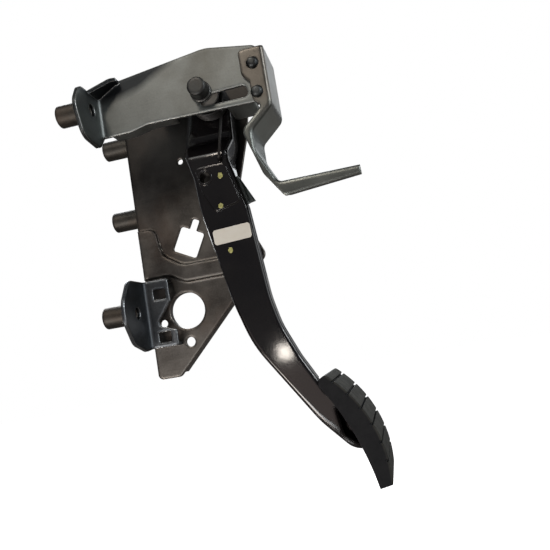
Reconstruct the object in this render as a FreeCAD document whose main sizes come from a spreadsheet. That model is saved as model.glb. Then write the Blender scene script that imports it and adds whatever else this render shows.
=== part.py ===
import FreeCAD, Part
import math
import os

# Brake pedal of a car with its bulkhead bracket, in millimetres.
# +X points to the driver, +Y across the car away from the near side plate, +Z up along the bulkhead.
# The origin is the centre of the upper near stud hole in the bulkhead face.

SIZES = {
    # fixing on the bulkhead
    "collar_length": 22.5,
    "collar_radius": 7.9,
    "collar_chamfer": 0.8,
    "stud_radius": 4.5,
    "far_stud_y": 72,
    "far_upper_stud_z": -6,
    "far_stud_pitch": 60,
    "lower_stud_y": 31,
    "lower_stud_z": -145,
    # pressed bracket
    "plate_wall": 2.5,
    "near_face": 13,
    "plate_gap": 44.5,
    "plate_tail": 45,
    "plate_top": 31,
    "near_bottom": -14,
    "near_ear_reach": 26,
    "ear_margin_top": 13,
    "ear_margin_bottom": 27,
    "rim_depth": 15,
    "rim_end_depth": 6,
    "bottom_flange_depth": 10,
    "bottom_tab_depth": 32,
    "bottom_tab_width": 20,
    "slot_width": 9,
    "slot_length": 32,
    "bend_radius": 5,
    "far_bottom": -196,
    "far_foot_width": 18,
    "far_corner_x": 121,
    "stud_flange_reach": 16,
    "stiffener_depth": 8,
    "bead_height": 3,
    "bead_width": 14,
    "key_hole_side": 20,
    "key_stem_width": 6,
    "key_stem_length": 8.5,
    "round_hole_radius": 14,
    "lip_height": 4,
    "lower_bracket_offset": 11,
    "lower_bracket_height": 51,
    "lower_ear_reach": 23,
    # brace strut
    "strut_overhang": 4,
    "strut_top": 22,
    "strut_waist": 13,
    "strut_reach": 55,
    "strut_end_z": -75,
    "strut_lip": 6,
    "strut_depth": 41.5,
    "strut_end_depth": 20,
    "strut_hole_radius": 4.25,
    "rivet_inset": 5,
    "rivet_upper_z": 11,
    "rivet_pitch": 21,
    "rivet_radius": 3,
    "rivet_head_radius": 4.7,
    "rivet_head_height": 2.4,
    # pivot
    "pivot_x": 102,
    "pivot_z": 0,
    "bolt_radius": 5,
    "bolt_head_radius": 6.6,
    "bolt_head_height": 10.5,
    "bolt_head_edge": 1.2,
    "bolt_hole_gap": 0.15,
    "washer_radius": 7.7,
    "washer_wall": 2,
    "nut_across_flats": 16,
    "nut_height": 8,
    "bolt_tail": 3,
    "sleeve_radius": 7,
    "running_gap": 0.05,
    "bush_wall": 2,
    "bush_flange": 2,
    "bush_length": 14,
    "end_gap": 0.3,
    "hub_wall": 2.5,
    # pedal arm
    "arm_face": 26,
    "arm_depth": 8,
    "arm_wall": 3,
    "arm_width": 27.7,
    "arm_edge_radius": 3,
    "weld_bite": 0.5,
    "fold_z": -41,
    "fold_width": 31,
    "fold_overhang": 23,
    "joggle": 12,
    "waist_overhang": 4.5,
    "waist_z": -150,
    "knee_reach": 5,
    "knee_z": -182,
    "panel_rise": 1.2,
    "panel_edge": 0.8,
    "pin_back": 10,
    "pin_z": -58,
    "pin_radius": 4,
    "pin_bush_wall": 1.6,
    "pin_bush_stand": 0.4,
    "pin_bush_length": 12,
    "label_width": 27.6,
    "label_height": 10.9,
    "label_wall": 0.3,
    "label_reach": 3.2,
    "label_z": -101.8,
    "tab_height": 21,
    "tab_reach": 6,
    "tab_wall": 2,
    "tab_foot": 1.5,
    # foot
    "foot_x": 168.3,
    "foot_z": -247,
    "foot_plate_wall": 3,
    "pad_width": 72,
    "pad_shift": 12,
    "pad_back_radius": 171,
    "pad_upper": 36.4,
    "pad_lower": 37.3,
    "pad_thickness": 13.8,
    "pad_lip": 3,
    "pad_seat_gap": 0.1,
    "pad_border": 5,
    "tread_radius": 85,
    "tread_upper": 42,
    "tread_lower": 40,
    "groove_pitch": 12.2,
    "groove_width": 1.3,
    "groove_depth": 2,
    "groove_margin": 6,
    # return spring
    "wire_radius": 1,
    "coil_gap": 0.5,
    "coil_turns": 4,
    "coil_pitch": 3.4,
    "coil_stand": 2.75,
}

GROOVE_COUNT = 6
COIL_FACETS = 12
PAD_TILT = 22
LABEL_TILT = 2.8
NODES = []

doc = FreeCAD.newDocument("BrakePedal")
sheet = doc.addObject("Spreadsheet::Sheet", "Sizes")
for row, (alias, value) in enumerate(SIZES.items(), start=1):
    sheet.set(f"A{row}", alias)
    sheet.set(f"B{row}", str(value))
    sheet.setAlias(f"B{row}", alias)
doc.recompute()


def size(alias):
    return float(sheet.get(alias))


# Places that several pieces share, each once as a number and once as an expression
NEAR_INNER = "Sizes.near_face + Sizes.plate_wall"
FAR_FACE = f"{NEAR_INNER} + Sizes.plate_gap"
FAR_BACK = f"{FAR_FACE} + Sizes.plate_wall"
STRUT_FACE = "Sizes.near_face - Sizes.plate_wall"
HUB_START = f"{NEAR_INNER} + Sizes.end_gap + Sizes.bush_flange"
HUB_END = f"{FAR_FACE} - Sizes.end_gap - Sizes.bush_flange"

wall = size("plate_wall")
ear_front = size("collar_length")
near_face = size("near_face")
near_inner = near_face + wall
far_face = near_inner + size("plate_gap")
far_back = far_face + wall
pivot_x = size("pivot_x")
pivot_z = size("pivot_z")
plate_end = pivot_x + size("plate_tail")
bolt_hole = size("bolt_radius") + size("bolt_hole_gap")
bush_inner = size("sleeve_radius") + size("running_gap")
hub_inner = bush_inner + size("bush_wall")
hub_outer = hub_inner + size("hub_wall")
hub_end = far_face - size("end_gap") - size("bush_flange")
arm_face = size("arm_face")
arm_far = arm_face + size("arm_depth")


def vector(u, v):
    return FreeCAD.Vector(u, v, 0)


def rounded_loop(corners):
    """Lines and arcs of a closed outline whose corners are (u, v) or (u, v, radius)."""
    count = len(corners)
    points = [vector(corner[0], corner[1]) for corner in corners]
    ends = []
    edges = []
    for index, corner in enumerate(corners):
        here = points[index]
        back = points[index - 1] - here
        ahead = points[(index + 1) % count] - here
        radius = corner[2] if len(corner) > 2 else 0
        half = back.getAngle(ahead) / 2
        if radius <= 0 or half > math.pi / 2 - 0.001:
            ends.append((here, here))
            continue
        reach = min(radius / math.tan(half), 0.48 * back.Length, 0.48 * ahead.Length)
        radius = reach * math.tan(half)
        back.normalize()
        ahead.normalize()
        first = here + back * reach
        last = here + ahead * reach
        inward = (back + ahead).normalize()
        middle = here + inward * (radius / math.sin(half) - radius)
        edges.append(Part.Arc(first, middle, last))
        ends.append((first, last))
    for index in range(count):
        start = ends[index][1]
        stop = ends[(index + 1) % count][0]
        if start.distanceToPoint(stop) > 1e-6:
            edges.append(Part.LineSegment(start, stop))
    return edges


def shifted(corners, distance, closed):
    """The same corners moved to the left of their path by a distance, with matching radii."""
    count = len(corners)
    result = []
    for index, corner in enumerate(corners):
        normals = []
        for other, sign in ((index - 1, 1), (index + 1, -1)):
            if closed or 0 <= other < count:
                there = corners[other % count]
                run = vector(corner[0] - there[0], corner[1] - there[1]).normalize() * sign
                normals.append(vector(-run.y, run.x))
        first, last = normals[0], normals[-1]
        move = (first + last) * (distance / (1 + first.dot(last)))
        radius = corner[2] if len(corner) > 2 else 0
        if radius:
            turn = math.copysign(1, first.cross(last).z)
            radius = max(radius - distance * turn, 0.2)
        result.append((corner[0] + move.x, corner[1] + move.y, radius))
    return result


def ribbon(path, thickness):
    """Closed outline of a sheet of a given thickness on the left of an open path."""
    return list(path) + shifted(path, thickness, False)[::-1]


def new_body(label):
    body = doc.addObject("PartDesign::Body", label)
    NODES.append(body)
    return body


def sketch_on(body, role, where, *loops):
    """A sketch on an origin plane of the body, moved out along its axis to a place."""
    plane = next(item for item in body.Origin.OriginFeatures if item.Role == role)
    sketch = body.newObject("Sketcher::SketchObject", body.Label + "_sketch")
    sketch.AttachmentSupport = [(plane, "")]
    sketch.MapMode = "FlatFace"
    sign = "-" if role == "XZ_Plane" else ""
    sketch.setExpression("AttachmentOffset.Base.z", f"{sign}({where})")
    for loop in loops:
        if isinstance(loop, tuple):
            circle = Part.Circle(vector(loop[0], loop[1]), FreeCAD.Vector(0, 0, 1), loop[2])
            sketch.addGeometry(circle)
        elif isinstance(loop[0], tuple):
            for edge in rounded_loop(loop):
                sketch.addGeometry(edge)
        else:
            for edge in loop:
                sketch.addGeometry(edge)
    return sketch


def pad(body, sketch, length, flip=False):
    feature = body.newObject("PartDesign::Pad", body.Label + "_pad")
    feature.Profile = sketch
    feature.setExpression("Length", length)
    feature.Reversed = flip
    return feature


def pocket(body, sketch, length=None, flip=False):
    feature = body.newObject("PartDesign::Pocket", body.Label + "_pocket")
    feature.Profile = sketch
    if length is None:
        feature.Type = "ThroughAll"
    else:
        feature.setExpression("Length", length)
    feature.Reversed = flip
    return feature


def fillet(body, radius, chosen):
    """Round the edges of the body so far that a test picks."""
    doc.recompute()
    base = body.Tip
    names = [f"Edge{number}" for number, edge in enumerate(base.Shape.Edges, 1) if chosen(edge)]
    feature = body.newObject("PartDesign::Fillet", body.Label + "_fillet")
    feature.Base = (base, names)
    feature.setExpression("Radius", radius)
    return feature


def upright_at(x, y):
    """Test for an upright edge through a place in plan."""
    def chosen(edge):
        box = edge.BoundBox
        flat = box.XLength < 0.01 and box.YLength < 0.01
        return flat and abs(box.XMin - x) < 0.01 and abs(box.YMin - y) < 0.01
    return chosen


def tube_y(label, radius, bore, start, length):
    """A tube on the pivot axis from one place along Y."""
    body = new_body(label)
    outline = sketch_on(body, "XZ_Plane", start, (pivot_x, pivot_z, radius), (pivot_x, pivot_z, bore))
    pad(body, outline, length, flip=True)
    return body


# Top edge that both side plates share, from the ear to the rear end
shoulder = (ear_front + 16, size("plate_top") - 8.8, 8)
crest = (pivot_x + 7, size("plate_top"), 30)
top_edge = [
    (ear_front, size("ear_margin_top")),
    shoulder,
    crest,
    (plate_end, size("plate_top") - 7, 6),
]
roof_slope = (crest[1] - shoulder[1]) / (crest[0] - shoulder[0])


def roof_line(x):
    """Height of the top edge between shoulder and crest."""
    return shoulder[1] + (x - shoulder[0]) * roof_slope


# Near side plate: web with an ear bent towards the viewer, an outward rim on top,
# a flange folded in along the bottom, and the long slot beside the pivot bolt
near_plate = new_body("near_side_plate")
near_bottom = size("near_bottom")
bottom_step = near_bottom - 3
bottom_edge = [
    (ear_front, bottom_step),
    (ear_front + 24, bottom_step, 12),
    (ear_front + 37, near_bottom, 12),
    (plate_end, near_bottom - 2, 3),
]
web = sketch_on(near_plate, "XZ_Plane", "Sizes.near_face", bottom_edge + top_edge[::-1])
pad(near_plate, web, "Sizes.plate_wall", flip=True)
ear_reach = size("near_ear_reach")
ear_top = size("ear_margin_top")
ear_bottom = -size("ear_margin_bottom")
ear = [
    (near_inner, ear_top),
    (10 - ear_reach, ear_top, 9),
    (-ear_reach, -2, 12),
    (9 - ear_reach, ear_bottom + 3, 12),
    (6, ear_bottom, 8),
    (near_inner, bottom_step),
]
pad(near_plate, sketch_on(near_plate, "YZ_Plane", "Sizes.collar_length", ear), "Sizes.plate_wall")
rim_stop = shoulder[0] + 4
rim = ribbon(top_edge[:2] + [(rim_stop, roof_line(rim_stop))], -wall)
pad(near_plate, sketch_on(near_plate, "XZ_Plane", "Sizes.near_face", rim), "Sizes.rim_depth")
rim_out = near_face - size("rim_depth")
rim_taper = [
    (ear_front + wall, rim_out),
    (rim_stop + 1, near_face - size("rim_end_depth")),
    (rim_stop + 1, rim_out - 1),
    (ear_front + wall, rim_out - 1),
]
pocket(near_plate, sketch_on(near_plate, "XY_Plane", "Sizes.plate_top", rim_taper))
flange_path = [(ear_front + 9, bottom_step)] + bottom_edge[1:3] + [(pivot_x - 22, near_bottom)]
flange = sketch_on(near_plate, "XZ_Plane", "Sizes.near_face", ribbon(flange_path, wall))
pad(near_plate, flange, "Sizes.plate_wall + Sizes.bottom_flange_depth", flip=True)
tab_left = pivot_x + 16
tab_right = tab_left + size("bottom_tab_width")
tab_end = near_face + size("bottom_tab_depth")
bottom_tab = [(tab_left, near_face), (tab_right, near_face), (tab_right, tab_end, 6), (tab_left, tab_end, 3)]
pad(near_plate, sketch_on(near_plate, "XY_Plane", "Sizes.near_bottom", bottom_tab), "Sizes.plate_wall")
slot_bottom = near_bottom + 3
slot_top = slot_bottom + size("slot_width")
slot_end = pivot_x + size("slot_length")
slot = [
    (pivot_x - 2, slot_bottom, 4.4),
    (slot_end + 2, slot_bottom, 3),
    (slot_end, slot_top, 3),
    (pivot_x - 2, slot_top - 1, 4.4),
]
pocket(near_plate, sketch_on(near_plate, "XZ_Plane", "Sizes.near_face", slot), NEAR_INNER)
rivet_line = plate_end - size("rivet_inset")
rivet_spots = [
    (rivet_line, size("rivet_upper_z")),
    (rivet_line, size("rivet_upper_z") - size("rivet_pitch")),
]
round_holes = [(pivot_x, pivot_z, bolt_hole)] + [(x, z, size("rivet_radius")) for x, z in rivet_spots]
pocket(near_plate, sketch_on(near_plate, "XZ_Plane", "Sizes.near_face", *round_holes), NEAR_INNER)
near_stud = sketch_on(near_plate, "YZ_Plane", "Sizes.collar_length", (0, 0, size("stud_radius")))
pocket(near_plate, near_stud, "2 * Sizes.plate_wall", flip=True)
fillet(near_plate, "Sizes.bend_radius - Sizes.plate_wall", upright_at(ear_front + wall, near_face))

# Far side plate: a long triangle with a stud flange, a roof that meets the near plate,
# a pressed bead and its cut-outs
far_plate = new_body("far_side_plate")
far_bottom = size("far_bottom")
tip_x = ear_front + size("far_foot_width")
corner_x = size("far_corner_x")
corner_z = far_bottom + corner_x - tip_x
far_outline = [
    (ear_front, far_bottom, 4),
    (tip_x, far_bottom, 5),
    (corner_x, corner_z, 6),
    (corner_x - 7, corner_z + 17, 8),
    (pivot_x + 6, pivot_z - 62, 25),
    (pivot_x + 19, pivot_z - 22, 12),
    (pivot_x + 23, pivot_z - 2, 8),
    (plate_end, pivot_z + 4, 6),
] + top_edge[::-1]
pad(far_plate, sketch_on(far_plate, "XZ_Plane", FAR_FACE, far_outline), "Sizes.plate_wall", flip=True)
roof_path = [(x, roof_line(x)) for x in (shoulder[0] + 12, pivot_x)]
roof = sketch_on(far_plate, "XZ_Plane", NEAR_INNER, ribbon(roof_path, -wall))
pad(far_plate, roof, "Sizes.plate_gap + Sizes.plate_wall", flip=True)
stud_y = size("far_stud_y")
stud_top = size("far_upper_stud_z")
stud_low = stud_top - size("far_stud_pitch")
flange_out = stud_y + size("stud_flange_reach")
stiffener_out = far_back + size("stiffener_depth")
stud_flange = [
    (far_face, far_bottom + 6),
    (stiffener_out, far_bottom + 6, 4),
    (stiffener_out, stud_low - 24, 8),
    (flange_out, stud_low - 16, 10),
    (flange_out, stud_top + 16, 12),
    (far_face, ear_top),
]
pad(far_plate, sketch_on(far_plate, "YZ_Plane", "Sizes.collar_length", stud_flange), "Sizes.plate_wall")
stud_radius = size("stud_radius")
stud_holes = [(stud_y, height, stud_radius) for height in (stud_top, stud_low)]
far_studs = sketch_on(far_plate, "YZ_Plane", "Sizes.collar_length", *stud_holes)
pocket(far_plate, far_studs, "2 * Sizes.plate_wall", flip=True)
diagonal = [(tip_x + 3, far_bottom + 3), (corner_x - 5, corner_z - 5)]
stiffener = sketch_on(far_plate, "XZ_Plane", FAR_FACE, ribbon(diagonal, wall))
pad(far_plate, stiffener, "Sizes.plate_wall + Sizes.stiffener_depth", flip=True)
bead_low = corner_z - 10
bead_top = bead_low + size("bead_width")
bead_end = corner_x - 20
bead = [
    (ear_front, bead_low + 7),
    (ear_front + 21, bead_low + 7, 15),
    (ear_front + 33, bead_low, 12),
    (bead_end, bead_low, 6),
    (bead_end, bead_top, 6),
    (ear_front + 33, bead_top, 15),
    (ear_front + 18, bead_top + 10, 10),
    (ear_front + 14, bead_top + 32, 6),
    (ear_front, bead_top + 32),
]
pad(far_plate, sketch_on(far_plate, "XZ_Plane", FAR_FACE, bead), "Sizes.bead_height")
bead_crown = far_face - size("bead_height")
fillet(
    far_plate,
    "Sizes.bead_height - 1",
    lambda edge: abs(edge.BoundBox.YMin - bead_crown) + abs(edge.BoundBox.YMax - bead_crown) < 0.01,
)
hollow = sketch_on(far_plate, "XZ_Plane", FAR_BACK, shifted(bead, wall, True))
pocket(far_plate, hollow, "Sizes.bead_height", flip=True)
key_turn = math.radians(-28)
key_centre = (pivot_x - 40, pivot_z - 95)
half_side = size("key_hole_side") / 2
half_stem = size("key_stem_width") / 2
stem_end = half_side + size("key_stem_length")
key_corners = [
    (-half_side, -half_side, 2),
    (half_side, -half_side, 2),
    (half_side, half_side, 2),
    (half_stem, half_side, 0.8),
    (half_stem, stem_end, 1.5),
    (-half_stem, stem_end, 1.5),
    (-half_stem, half_side, 0.8),
    (-half_side, half_side, 2),
]
key_hole = [
    (
        key_centre[0] + u * math.cos(key_turn) - v * math.sin(key_turn),
        key_centre[1] + u * math.sin(key_turn) + v * math.cos(key_turn),
        radius,
    )
    for u, v, radius in key_corners
]
window_x = ear_front + 30.5
window_z = far_bottom + 49
window_radius = size("round_hole_radius")
pocket(
    far_plate,
    sketch_on(
        far_plate,
        "XZ_Plane",
        FAR_FACE,
        key_hole,
        (window_x, window_z, window_radius),
        (window_x - 1, window_z - 24, 3.7),
        (window_x - 20, window_z - 7, 3),
        (pivot_x - 37, pivot_z - 31, 2.2),
        (pivot_x, pivot_z, bolt_hole),
    ),
    "2 * Sizes.plate_wall",
)
lip = sketch_on(
    far_plate,
    "XZ_Plane",
    FAR_FACE,
    (window_x, window_z, window_radius + wall),
    (window_x, window_z, window_radius),
)
pad(far_plate, lip, "Sizes.plate_wall + Sizes.lip_height", flip=True)
fillet(far_plate, "Sizes.bend_radius - Sizes.plate_wall", upright_at(ear_front + wall, far_back))

# Lower mount bracket: an ear for the lower stud and a notched web with two windows,
# boxed out to the far plate by a top and a bottom flange
lower = new_body("lower_mount_bracket")
lower_y = size("lower_stud_y")
lower_z = size("lower_stud_z")
lower_face = far_face - size("lower_bracket_offset")
lower_inner = lower_face + wall
lower_top = lower_z + size("lower_bracket_height") / 2 - 1.5
lower_low = lower_top - size("lower_bracket_height")
lower_reach = lower_y - size("lower_ear_reach")
LOWER_FACE = f"{FAR_FACE} - Sizes.lower_bracket_offset"
lower_ear = [
    (lower_inner, lower_low),
    (lower_inner, lower_top),
    (lower_reach + 14, lower_top, 10),
    (lower_reach, lower_top - 17, 14),
    (lower_reach, lower_low + 20, 14),
    (lower_reach + 11, lower_low + 4, 12),
    (lower_inner - 12, lower_low - 1.5, 8),
]
pad(lower, sketch_on(lower, "YZ_Plane", "Sizes.collar_length", lower_ear), "Sizes.plate_wall")
notch_z = lower_z - 8
lower_web = [
    (ear_front, lower_low),
    (ear_front + 23.5, lower_low, 2),
    (ear_front + 23.5, lower_low + 11.5, 2),
    (ear_front + 11, notch_z - 3, 3),
    (ear_front + 10, notch_z, 3),
    (ear_front + 21.5, lower_top - 17, 2),
    (ear_front + 21.5, lower_top, 2),
    (ear_front, lower_top),
]
pad(lower, sketch_on(lower, "XZ_Plane", LOWER_FACE, lower_web), "Sizes.plate_wall", flip=True)
for height, edge_x in ((lower_top - wall, ear_front + 21), (lower_low, ear_front + 23)):
    shelf = [(ear_front, height), (edge_x, height), (edge_x, height + wall), (ear_front, height + wall)]
    pad(lower, sketch_on(lower, "XZ_Plane", LOWER_FACE, shelf), "Sizes.lower_bracket_offset", flip=True)
for height in (lower_top - 15, lower_low + 3.5):
    opening = [
        (ear_front + 9, height, 1),
        (ear_front + 19, height, 1),
        (ear_front + 19, height + 8, 1),
        (ear_front + 9, height + 8, 1),
    ]
    pocket(lower, sketch_on(lower, "XZ_Plane", LOWER_FACE, opening), "Sizes.plate_wall")
lower_stud = sketch_on(lower, "YZ_Plane", "Sizes.collar_length", (lower_y, lower_z, stud_radius))
pocket(lower, lower_stud, "2 * Sizes.plate_wall", flip=True)
fillet(lower, "Sizes.bend_radius - Sizes.plate_wall", upright_at(ear_front + wall, lower_face))

# Stud collars: four spacer tubes between the ears and the bulkhead
collars = []
for place_y, place_z in ((0, 0), (stud_y, stud_top), (stud_y, stud_low), (lower_y, lower_z)):
    outer = doc.addObject("Part::Cylinder", "collar_outer")
    outer.setExpression("Radius", "Sizes.collar_radius")
    outer.setExpression("Height", "Sizes.collar_length")
    bore = doc.addObject("Part::Cylinder", "collar_bore")
    bore.setExpression("Radius", "Sizes.stud_radius")
    bore.setExpression("Height", "Sizes.collar_length")
    collar = doc.addObject("Part::Cut", "collar")
    collar.Base = outer
    collar.Tool = bore
    doc.recompute()
    rims = [
        (number, size("collar_chamfer"), size("collar_chamfer"))
        for number, edge in enumerate(collar.Shape.Edges, 1)
        if edge.Closed and abs(edge.Curve.Radius - size("collar_radius")) < 0.01
    ]
    finished = doc.addObject("Part::Chamfer", "collar_chamfered")
    finished.Base = collar
    finished.Edges = rims
    turned = FreeCAD.Rotation(FreeCAD.Vector(0, 1, 0), 90)
    finished.Placement = FreeCAD.Placement(FreeCAD.Vector(0, place_y, place_z), turned)
    collars.append(finished)
collar_set = doc.addObject("Part::Compound", "stud_collars")
collar_set.Links = collars
NODES.append(collar_set)

# Brace strut: an angle section riveted on the near plate; its flange folds away from the viewer
strut = new_body("brace_strut")
bend_x = plate_end + size("strut_overhang")
waist_x = plate_end - size("strut_waist")
end_x = plate_end + size("strut_reach")
end_z = size("strut_end_z")
strut_lip = size("strut_lip")
strut_top = size("strut_top")
outer_path = [
    (bend_x, strut_top),
    (bend_x, end_z + 54, 8),
    (waist_x, end_z + 39, 6),
    (waist_x, end_z + 25, 12),
    (waist_x + 12, end_z, 5),
    (end_x, end_z),
]
inner_path = [
    (end_x, end_z - strut_lip),
    (waist_x + 15, end_z - strut_lip - 5, 3),
    (waist_x + 3, end_z + 7, 10),
    (waist_x - 7, end_z + 40, 6),
    (bend_x - 7, end_z + 54.5, 5),
    (bend_x - 13, end_z + 60, 4),
    (bend_x - 13, end_z + 73, 4),
    (bend_x - 18, end_z + 79, 4),
    (bend_x - 18, strut_top, 3),
]
pad(strut, sketch_on(strut, "XZ_Plane", STRUT_FACE, outer_path + inner_path), "Sizes.plate_wall", flip=True)
strut_flange = sketch_on(strut, "XZ_Plane", STRUT_FACE, ribbon(outer_path, -wall))
pad(strut, strut_flange, "Sizes.strut_depth", flip=True)
strut_face = near_face - wall
deep = strut_face + size("strut_depth")
shallow = strut_face + size("strut_end_depth")


def on_outer_bend(edge):
    """Test for an edge of the fold between the strut's web and its flange."""
    box = edge.BoundBox
    if box.YLength > 0.01 or abs(box.YMin - strut_face) > 0.01 or box.ZMin < end_z + 30:
        return False
    return box.XMin > bend_x - 0.01


taper = [(waist_x + 8, deep), (end_x + 1, shallow), (end_x + 1, deep + 5), (waist_x + 8, deep + 5)]
pocket(strut, sketch_on(strut, "XY_Plane", "Sizes.strut_end_z + 12", taper))
fillet(strut, "Sizes.bend_radius - Sizes.plate_wall", on_outer_bend)
rivet_holes = [(x, z, size("rivet_radius")) for x, z in rivet_spots]
pocket(strut, sketch_on(strut, "XZ_Plane", STRUT_FACE, *rivet_holes), "2 * Sizes.plate_wall")
end_hole = (end_x - 12, strut_face + 11.5, size("strut_hole_radius"))
pocket(strut, sketch_on(strut, "XY_Plane", "Sizes.strut_end_z + 1", end_hole), "2 * Sizes.plate_wall")

# Strut rivets: domed heads over the strut, flat tails behind the near plate
rivets = []
for rivet_x, rivet_z in rivet_spots:
    rivet_shank = doc.addObject("Part::Cylinder", "rivet_shank")
    rivet_shank.setExpression("Radius", "Sizes.rivet_radius")
    rivet_shank.setExpression("Height", "2 * Sizes.plate_wall")
    rivet_head = doc.addObject("Part::Cone", "rivet_head")
    rivet_head.setExpression("Radius1", "Sizes.rivet_head_radius * 0.6")
    rivet_head.setExpression("Radius2", "Sizes.rivet_head_radius")
    rivet_head.setExpression("Height", "Sizes.rivet_head_height")
    rivet_head.setExpression("Placement.Base.z", "-Sizes.rivet_head_height")
    rivet_tail = doc.addObject("Part::Cylinder", "rivet_tail")
    rivet_tail.setExpression("Radius", "Sizes.rivet_head_radius * 0.9")
    rivet_tail.setExpression("Height", "Sizes.rivet_head_height / 2")
    rivet_tail.setExpression("Placement.Base.z", "2 * Sizes.plate_wall")
    rivet = doc.addObject("Part::MultiFuse", "rivet")
    rivet.Shapes = [rivet_shank, rivet_head, rivet_tail]
    turned = FreeCAD.Rotation(FreeCAD.Vector(1, 0, 0), -90)
    rivet.Placement = FreeCAD.Placement(FreeCAD.Vector(rivet_x, strut_face, rivet_z), turned)
    rivets.append(rivet)
rivet_set = doc.addObject("Part::Compound", "strut_rivets")
rivet_set.Links = rivets
NODES.append(rivet_set)

# Pivot: bolt with a round head, washers, nut and the sleeve clamped between the plates
bolt = new_body("pivot_bolt")
HEAD_BACK = "Sizes.near_face - Sizes.washer_wall"
STACK = "2 * Sizes.washer_wall + 2 * Sizes.plate_wall + Sizes.plate_gap + Sizes.nut_height + Sizes.bolt_tail"
bolt_shank = sketch_on(bolt, "XZ_Plane", HEAD_BACK, (pivot_x, pivot_z, size("bolt_radius")))
pad(bolt, bolt_shank, STACK, flip=True)
bolt_head = sketch_on(bolt, "XZ_Plane", HEAD_BACK, (pivot_x, pivot_z, size("bolt_head_radius")))
pad(bolt, bolt_head, "Sizes.bolt_head_height")
head_front = near_face - size("washer_wall") - size("bolt_head_height")
fillet(bolt, "Sizes.bolt_head_edge", lambda edge: edge.BoundBox.YMax < head_front + 0.01 and edge.Closed)
near_washer = tube_y(
    "pivot_washer_near", size("washer_radius"), bolt_hole, HEAD_BACK, "Sizes.washer_wall"
)
far_washer = tube_y("pivot_washer_far", size("washer_radius"), bolt_hole, FAR_BACK, "Sizes.washer_wall")
nut = new_body("pivot_nut")
nut_corner = size("nut_across_flats") / math.sqrt(3)
hexagon = []
for step in range(6):
    angle = math.radians(60 * step)
    hexagon.append((pivot_x + nut_corner * math.cos(angle), pivot_z + nut_corner * math.sin(angle)))
NUT_FACE = f"{FAR_BACK} + Sizes.washer_wall"
nut_outline = sketch_on(nut, "XZ_Plane", NUT_FACE, hexagon, (pivot_x, pivot_z, bolt_hole))
pad(nut, nut_outline, "Sizes.nut_height", flip=True)
sleeve = tube_y("pivot_sleeve", size("sleeve_radius"), bolt_hole, NEAR_INNER, "Sizes.plate_gap")

# Hub: tube across the arm's head with a flanged plastic bush in each end
hub = tube_y("hub_tube", hub_outer, hub_inner, HUB_START, f"({HUB_END}) - ({HUB_START})")
for name, start, flange_start in (
    ("pivot_bush_near", HUB_START, f"{HUB_START} - Sizes.bush_flange"),
    ("pivot_bush_far", f"{HUB_END} - Sizes.bush_length", HUB_END),
):
    bush = new_body(name)
    for place, radius, length in (
        (start, hub_inner, "Sizes.bush_length"),
        (flange_start, hub_outer, "Sizes.bush_flange"),
    ):
        ring = sketch_on(bush, "XZ_Plane", place, (pivot_x, pivot_z, radius), (pivot_x, pivot_z, bush_inner))
        pad(bush, ring, length, flip=True)


# Foot: curved steel plate and the rubber pad that grips round it. Both are placed from the middle
# of the pad's back, and lengths along them are measured from there
def polar(centre, radius, degrees):
    angle = math.radians(degrees)
    return centre + vector(radius * math.cos(angle), radius * math.sin(angle))


def arc_band(centre, inner, outer, low, high):
    """Closed outline between two arcs about one centre."""
    middle = (low + high) / 2
    inner_arc = Part.Arc(polar(centre, inner, low), polar(centre, inner, middle), polar(centre, inner, high))
    outer_arc = Part.Arc(polar(centre, outer, low), polar(centre, outer, middle), polar(centre, outer, high))
    return [
        inner_arc,
        Part.LineSegment(polar(centre, inner, high), polar(centre, outer, high)),
        outer_arc,
        Part.LineSegment(polar(centre, outer, low), polar(centre, inner, low)),
    ]


def along(length, radius):
    """Direction in degrees of a place a length up from the middle of an arc."""
    return PAD_TILT + math.degrees(length / radius)


foot_x = size("foot_x")
foot_z = size("foot_z")
foot_middle = vector(foot_x, foot_z)
back_radius = size("pad_back_radius")
back_centre = polar(foot_middle, -back_radius, PAD_TILT)
tread_radius = size("tread_radius")
tread_centre = polar(foot_middle, size("pad_thickness") - tread_radius, PAD_TILT)
plate_back = back_radius + size("pad_lip")
plate_front = plate_back + size("foot_plate_wall")
pad_border = size("pad_border")
plate_upper = size("pad_upper") - pad_border / 2
plate_lower = size("pad_lower") - pad_border
PAD_NEAR = "Sizes.arm_face + Sizes.pad_shift - Sizes.pad_width / 2"
foot = new_body("foot_plate")
plate_ends = (along(-plate_lower, plate_back), along(plate_upper, plate_back))
pad(
    foot,
    sketch_on(
        foot,
        "XZ_Plane",
        f"{PAD_NEAR} + Sizes.pad_border",
        arc_band(back_centre, plate_back, plate_front, *plate_ends),
    ),
    "Sizes.pad_width - 2 * Sizes.pad_border",
    flip=True,
)

rubber = new_body("rubber_pad")
tread_top = polar(tread_centre, tread_radius, along(size("tread_upper"), tread_radius))
tread_middle = polar(tread_centre, tread_radius, PAD_TILT)
tread_bottom = polar(tread_centre, tread_radius, along(-size("tread_lower"), tread_radius))
back_bottom = polar(back_centre, back_radius, along(-size("pad_lower"), back_radius))
back_top = polar(back_centre, back_radius, along(size("pad_upper"), back_radius))
crown_rise = size("pad_lip") / math.sqrt(2)
crown = back_top + (tread_top - back_top) * 0.4 + polar(vector(0, 0), crown_rise, PAD_TILT + 110)
rubber_outline = [
    Part.Arc(tread_top, tread_middle, tread_bottom),
    Part.LineSegment(tread_bottom, back_bottom),
    Part.Arc(back_bottom, foot_middle, back_top),
    Part.Arc(back_top, crown, tread_top),
]
pad(rubber, sketch_on(rubber, "XZ_Plane", PAD_NEAR, rubber_outline), "Sizes.pad_width", flip=True)
seat_gap = size("pad_seat_gap")
seat_ends = (along(-plate_lower - seat_gap, plate_back), along(plate_upper + seat_gap, plate_back))
seat = arc_band(back_centre, plate_back - seat_gap, plate_front + seat_gap, *seat_ends)
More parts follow.
